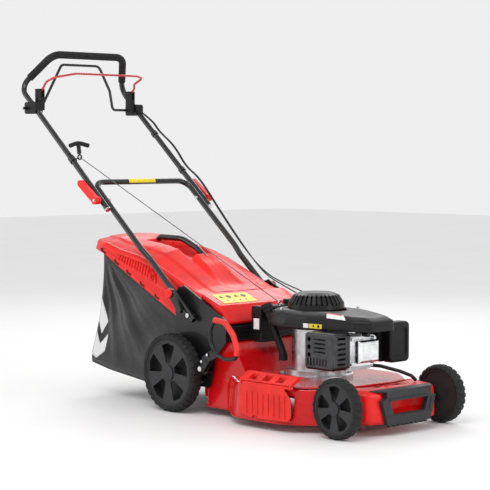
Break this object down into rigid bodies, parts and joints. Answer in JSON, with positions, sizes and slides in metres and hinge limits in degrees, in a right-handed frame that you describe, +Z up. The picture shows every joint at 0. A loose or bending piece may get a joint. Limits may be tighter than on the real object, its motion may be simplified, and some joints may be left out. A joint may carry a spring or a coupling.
{
  "type": "petrol lawn mower",
  "caption": "Self-propelled walk-behind petrol lawn mower with folding tubular handle, rear grass bag, side discharge door and single-lever cutting height adjustment.",
  "frame": {"origin": "on the ground under the middle of the machine's overall length and width", "axes": "+X towards the front, +Y to the mower's left, +Z up"},
  "size_m": [1.8178, 0.604, 1.3237],
  "materials": {
    "deck_paint": "gloss",
    "red_plastic": "satin",
    "bright_red_plastic": "satin",
    "quick_lever_plastic": "satin",
    "black_plastic": "satin",
    "engine_plastic": "satin",
    "bumper_plastic": "matte",
    "bracket_steel": "satin",
    "handle_tube": "gloss",
    "bail_red": "gloss",
    "zinc_steel": "bright",
    "blade_steel": "satin",
    "cast_aluminium": "cast",
    "flywheel_iron": "cast",
    "muffler_black": "satin",
    "tyre_rubber": "matte",
    "rim_plastic": "satin",
    "foam": "matte",
    "bag_cloth": "woven",
    "rope": "braided",
    "cable_jacket": "satin"
  },
  "bodies": {
    "deck": {"deck_shell": "deck_paint", "front_cover": "red_plastic", "front_bumper": "bumper_plastic", "side_brackets": "bracket_steel", "rear_chute": "black_plastic", "door_bracket": "bright_red_plastic", "hinge_pins": "zinc_steel", "crankcase": "cast_aluminium", "cylinder_block": "cast_aluminium", "cylinder_head_cover": "cast_aluminium", "spark_plug": "zinc_steel", "muffler": "muffler_black", "muffler_guard": "muffler_black", "carburettor": "black_plastic", "air_filter_box": "black_plastic", "fuel_tank": "black_plastic", "oil_filler_tube": "black_plastic", "engine_cowl": "engine_plastic", "recoil_cover": "engine_plastic", "fasteners": "zinc_steel", "support_rod": "bracket_steel", "starter_rope": "rope", "control_cables": "cable_jacket"},
    "cutter": {"crankshaft": "zinc_steel", "flywheel": "flywheel_iron", "blade_adapter": "zinc_steel", "blade": "blade_steel"},
    "rear_axle_unit": {"rear_axle": "bracket_steel", "gearbox": "cast_aluminium"},
    "front_axle_unit": {"front_axle": "bracket_steel"},
    "rear_wheel_right": {"rear_tyre_right": "tyre_rubber", "rear_rim_right": "rim_plastic"},
    "rear_wheel_left": {"rear_tyre_left": "tyre_rubber", "rear_rim_left": "rim_plastic"},
    "front_wheel_right": {"front_tyre_right": "tyre_rubber", "front_rim_right": "rim_plastic"},
    "front_wheel_left": {"front_tyre_left": "tyre_rubber", "front_rim_left": "rim_plastic"},
    "height_lever_unit": {"height_lever": "bracket_steel", "height_lever_grip": "bright_red_plastic"},
    "flap": {"rear_flap": "red_plastic"},
    "door": {"side_door": "bright_red_plastic"},
    "dipstick": {"oil_dipstick": "black_plastic"},
    "grass_bag": {"bag_lid": "red_plastic", "bag_fabric": "bag_cloth", "bag_frame": "black_plastic", "bag_handle": "black_plastic"},
    "lower_handle_unit": {"lower_handle": "handle_tube"},
    "upper_handle_unit": {"upper_handle": "handle_tube", "foam_grip": "foam", "cam_bolts": "zinc_steel", "control_housings": "black_plastic", "handle_clips": "handle_tube"},
    "cam_lever_right": {"cam_lever_right": "bright_red_plastic"},
    "cam_lever_left": {"cam_lever_left": "bright_red_plastic"},
    "quick_release_right": {"quick_release_right": "quick_lever_plastic"},
    "quick_release_left": {"quick_release_left": "quick_lever_plastic"},
    "brake_bail": {"brake_bail": "bail_red"},
    "drive_bail": {"drive_bail": "handle_tube"},
    "starter": {"starter_grip": "black_plastic"}
  },
  "joints": [
    {"name": "cutter_spin", "type": "hinge", "parent": "deck", "child": "cutter", "pos_m": [0.46187, 0, 0.064], "axis": [0, 0, 1], "continuous": true},
    {"name": "rear_axle_swing", "type": "hinge", "parent": "deck", "child": "rear_axle_unit", "pos_m": [0.10987, 0, 0.115], "axis": [0, -1, 0], "range_deg": [0, 23.5]},
    {"name": "front_axle_swing", "type": "hinge", "parent": "deck", "child": "front_axle_unit", "pos_m": [0.70587, 0, 0.075], "axis": [0, 1, 0], "range_deg": [0, 27.4]},
    {"name": "height_lever_swing", "type": "hinge", "parent": "deck", "child": "height_lever_unit", "pos_m": [0.14787, -0.262, 0.168], "axis": [0, -1, 0], "range_deg": [0, 25.1]},
    {"name": "flap_hinge", "type": "hinge", "parent": "deck", "child": "flap", "pos_m": [0.21187, 0, 0.33], "axis": [0, 1, 0], "range_deg": [0, 60], "stiffness_Nm_per_rad": 0.8, "springref_deg": -20.05, "deforming": ["starter_rope", "control_cables"]},
    {"name": "door_hinge", "type": "hinge", "parent": "deck", "child": "door", "pos_m": [0.51487, -0.294, 0.152], "axis": [-1, 0, 0], "range_deg": [0, 75], "stiffness_Nm_per_rad": 0.3, "springref_deg": -17.19},
    {"name": "dipstick_pull", "type": "slide", "parent": "deck", "child": "dipstick", "axis": [-0.3891, -0.0813, 0.9176], "range_m": [0, 0.12]},
    {"name": "bag_lift_off", "type": "slide", "parent": "deck", "child": "grass_bag", "axis": [-0.9272, 0, 0.3746], "range_m": [0, 0.6]},
    {"name": "handle_fold", "type": "hinge", "parent": "deck", "child": "lower_handle_unit", "pos_m": [0.05687, 0, 0.348], "axis": [0, 1, 0], "range_deg": [0, 105], "deforming": ["starter_rope", "control_cables"]},
    {"name": "upper_handle_fold", "type": "hinge", "parent": "lower_handle_unit", "child": "upper_handle_unit", "pos_m": [-0.40911, 0, 0.74782], "axis": [0, -1, 0], "range_deg": [-145, 0], "deforming": ["starter_rope", "control_cables"]},
    {"name": "rear_wheel_right_spin", "type": "hinge", "parent": "rear_axle_unit", "child": "rear_wheel_right", "pos_m": [-0.01013, -0.253, 0.14], "axis": [0, 1, 0], "continuous": true},
    {"name": "rear_wheel_left_spin", "type": "hinge", "parent": "rear_axle_unit", "child": "rear_wheel_left", "pos_m": [-0.01013, 0.253, 0.14], "axis": [0, 1, 0], "continuous": true},
    {"name": "front_wheel_right_spin", "type": "hinge", "parent": "front_axle_unit", "child": "front_wheel_right", "pos_m": [0.80887, -0.256, 0.1], "axis": [0, 1, 0], "continuous": true},
    {"name": "front_wheel_left_spin", "type": "hinge", "parent": "front_axle_unit", "child": "front_wheel_left", "pos_m": [0.80887, 0.256, 0.1], "axis": [0, 1, 0], "continuous": true},
    {"name": "cam_lever_right_turn", "type": "hinge", "parent": "upper_handle_unit", "child": "cam_lever_right", "pos_m": [-0.40911, 0, 0.74782], "axis": [0, 1, 0], "range_deg": [0, 120]},
    {"name": "quick_release_right_turn", "type": "hinge", "parent": "lower_handle_unit", "child": "quick_release_right", "pos_m": [-0.02213, 0, 0.424], "axis": [0, 1, 0], "range_deg": [0, 70]},
    {"name": "cam_lever_left_turn", "type": "hinge", "parent": "upper_handle_unit", "child": "cam_lever_left", "pos_m": [-0.40911, 0, 0.74782], "axis": [0, 1, 0], "range_deg": [0, 120]},
    {"name": "quick_release_left_turn", "type": "hinge", "parent": "lower_handle_unit", "child": "quick_release_left", "pos_m": [-0.02213, 0, 0.424], "axis": [0, 1, 0], "range_deg": [0, 70]},
    {"name": "brake_bail_hinge", "type": "hinge", "parent": "upper_handle_unit", "child": "brake_bail", "pos_m": [-0.82513, 0, 1.155], "axis": [0, -1, 0], "range_deg": [0, 28], "stiffness_Nm_per_rad": 0.6, "springref_deg": -22.92, "deforming": ["control_cables"]},
    {"name": "drive_bail_hinge", "type": "hinge", "parent": "upper_handle_unit", "child": "drive_bail", "pos_m": [-0.84813, 0, 1.098], "axis": [0, 1, 0], "range_deg": [0, 20], "stiffness_Nm_per_rad": 0.6, "springref_deg": -22.92},
    {"name": "starter_pull", "type": "slide", "parent": "upper_handle_unit", "child": "starter", "axis": [-0.2905, 0.1002, 0.9516], "range_m": [0, 0.4], "stiffness_N_per_m": 15, "springref_m": -0.25, "deforming": ["starter_rope"]}
  ],
  "couplings": [
    {"joint": "front_axle_swing", "follows": "rear_axle_swing", "ratio": 1.1617},
    {"joint": "height_lever_swing", "follows": "rear_axle_swing", "ratio": 1.0638}
  ]
}
